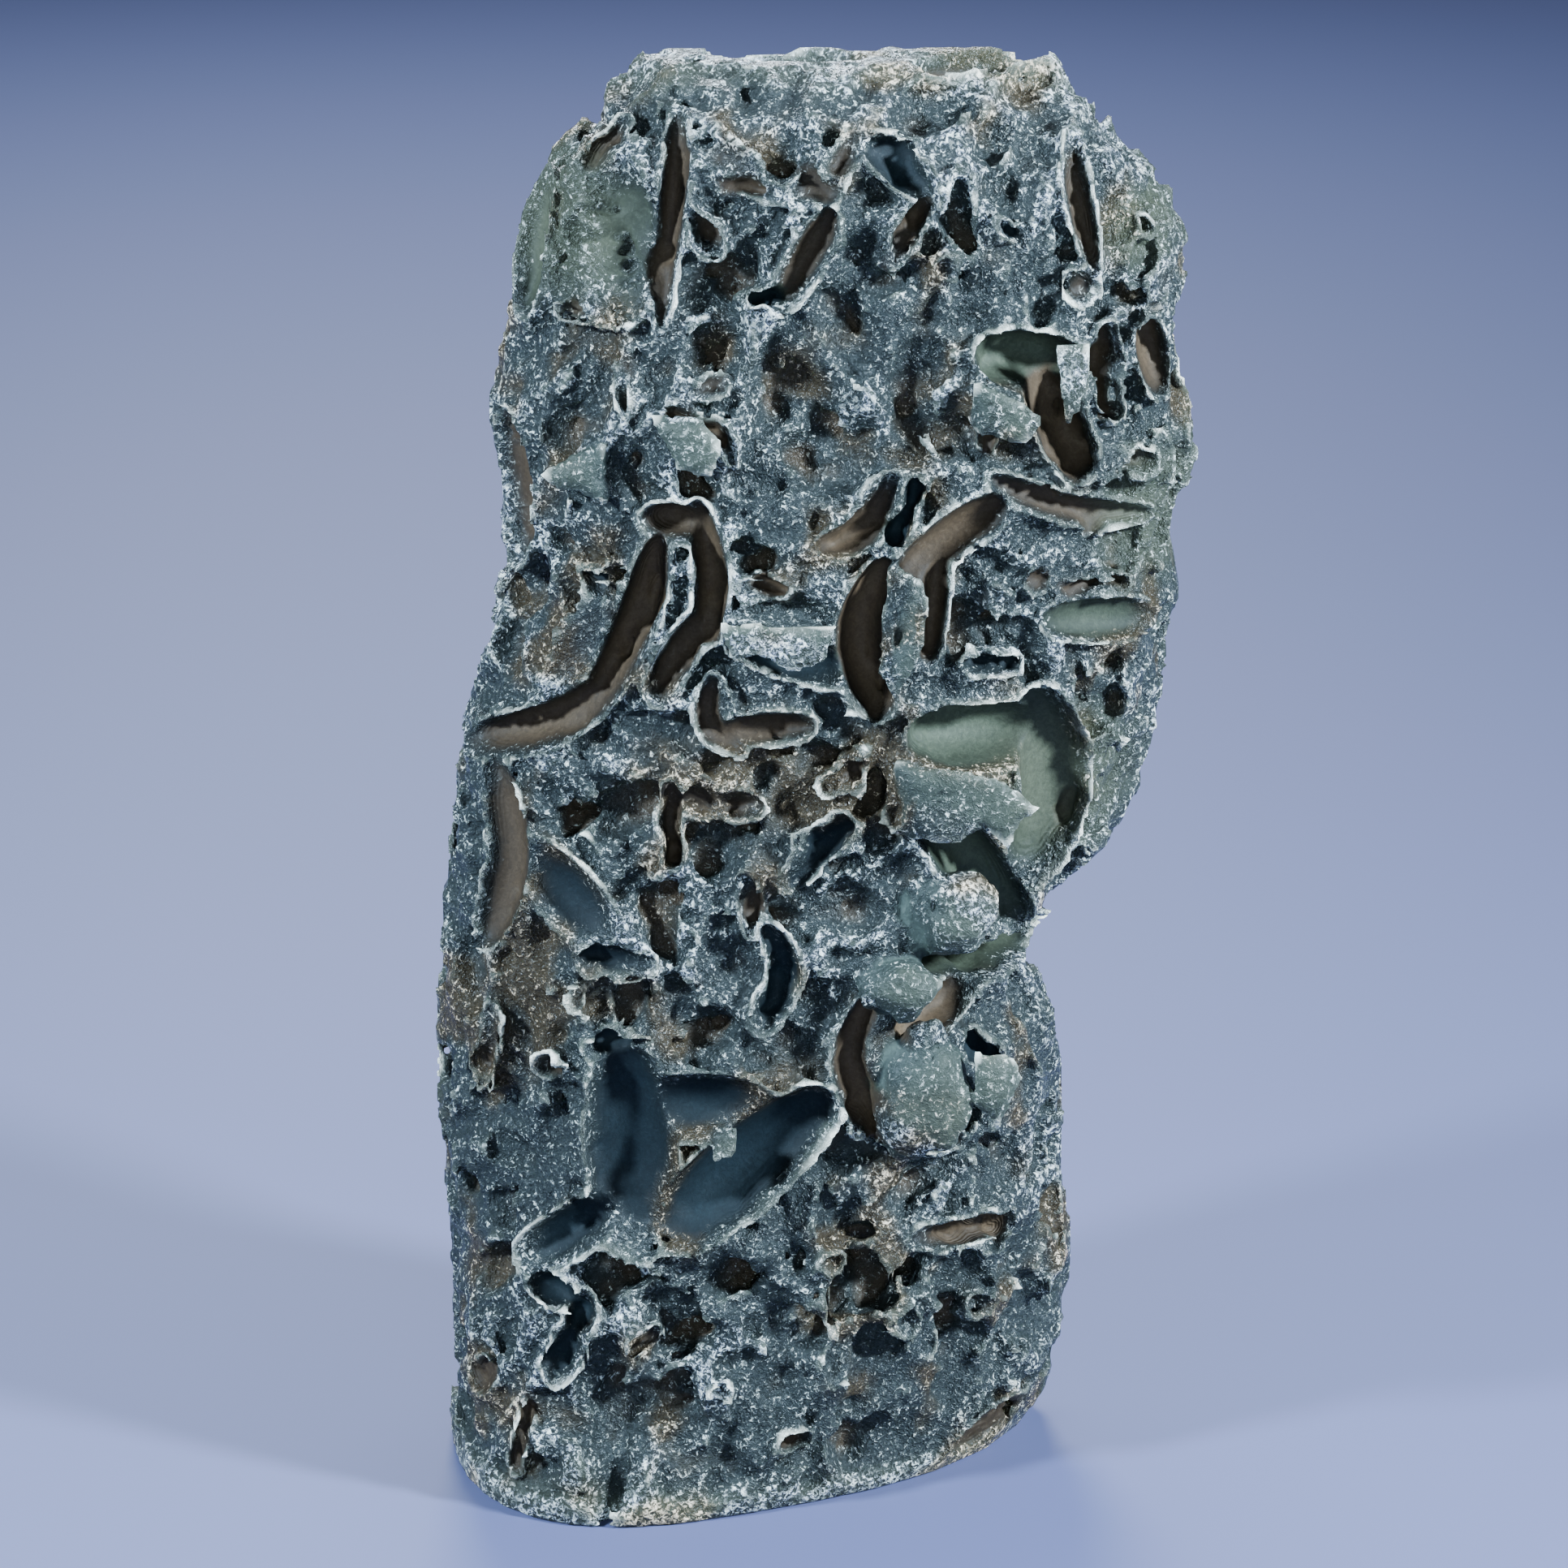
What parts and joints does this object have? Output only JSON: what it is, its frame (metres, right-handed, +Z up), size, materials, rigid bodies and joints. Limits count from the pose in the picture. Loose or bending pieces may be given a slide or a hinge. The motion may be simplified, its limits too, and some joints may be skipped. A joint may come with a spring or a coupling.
{
  "type": "moldavite",
  "caption": "Tall flat piece of natural green glass, etched into deep smooth hollows with thin sharp rims, standing on its broken flat base.",
  "frame": {"origin": "on the ground, at the middle of the footprint of the stone's bounding box", "axes": "+Z up along the stone's length, +Y away from the front face, through the stone's thickness, +X to the right as seen from the front"},
  "size_m": [0.0237, 0.0124, 0.0448],
  "materials": {
    "glass": "natural etched glass, bottle green, frosted skin with glossy hollows"
  },
  "bodies": {
    "root": {"moldavite": "glass"}
  },
  "joints": []
}
